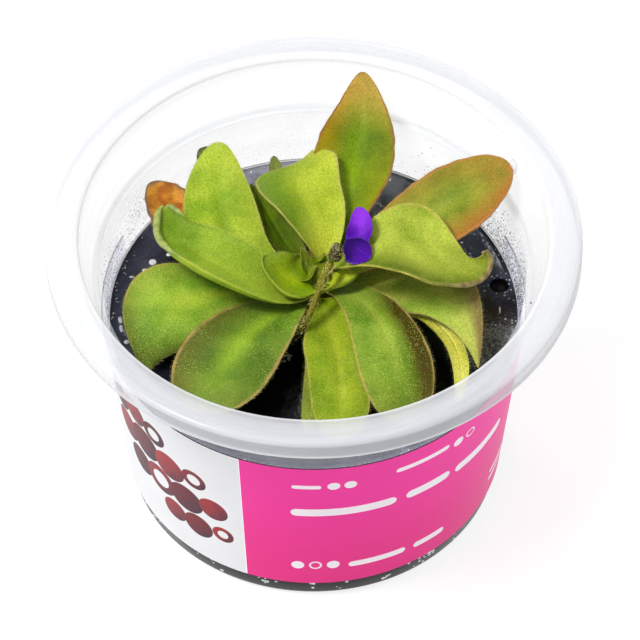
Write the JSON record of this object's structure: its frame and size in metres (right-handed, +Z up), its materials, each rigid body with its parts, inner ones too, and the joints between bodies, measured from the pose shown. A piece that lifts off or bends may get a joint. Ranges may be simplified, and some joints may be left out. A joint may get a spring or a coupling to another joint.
{
  "type": "potted butterwort",
  "caption": "Small carnivorous rosette plant with one violet flower, growing in dark gel inside a clear tapered cup with a flat rim and a paper wrap.",
  "frame": {"origin": "centre of the cup's flat base", "axes": "+Z up out of the cup, -Y towards the front, where the label's two panels meet a little left of the middle, +X to the right"},
  "size_m": [0.095, 0.095, 0.0605],
  "materials": {
    "clear_cup": "clear gloss",
    "label_white": "coated satin",
    "label_pink": "coated satin",
    "gel": "wet gloss",
    "crown": "satin",
    "leaf_green": "dewy satin",
    "leaf_lime": "dewy satin",
    "leaf_olive": "dewy satin",
    "leaf_orange": "dewy satin",
    "stem": "hairy",
    "calyx": "hairy",
    "petal_violet": "velvety",
    "petal_blue": "velvety"
  },
  "bodies": {
    "root": {"cup": "clear_cup", "label_white": "label_white", "label_pink": "label_pink", "gel": "gel", "crown": "crown", "leaf_front_small": "leaf_green", "leaf_right_low": "leaf_green", "leaf_left_low": "leaf_green", "leaf_back_right": "leaf_green", "leaf_front_left": "leaf_green", "leaf_front": "leaf_green", "leaf_back_tall": "leaf_green", "leaf_front_right": "leaf_green", "leaf_inner_narrow": "leaf_green", "leaf_strap": "leaf_lime", "leaf_upper_left": "leaf_lime", "leaf_left_rolled": "leaf_lime", "leaf_top_centre": "leaf_lime", "leaf_right_upper": "leaf_lime", "leaf_inner_yellow": "leaf_lime", "leaf_stub_left": "leaf_olive", "leaf_stub_back": "leaf_olive", "leaf_inner_dark": "leaf_olive", "leaf_inner_olive": "leaf_olive", "leaf_old_orange": "leaf_orange", "scape": "stem", "calyx": "calyx", "corolla_upper": "petal_violet", "corolla_lower": "petal_blue"}
  },
  "joints": []
}
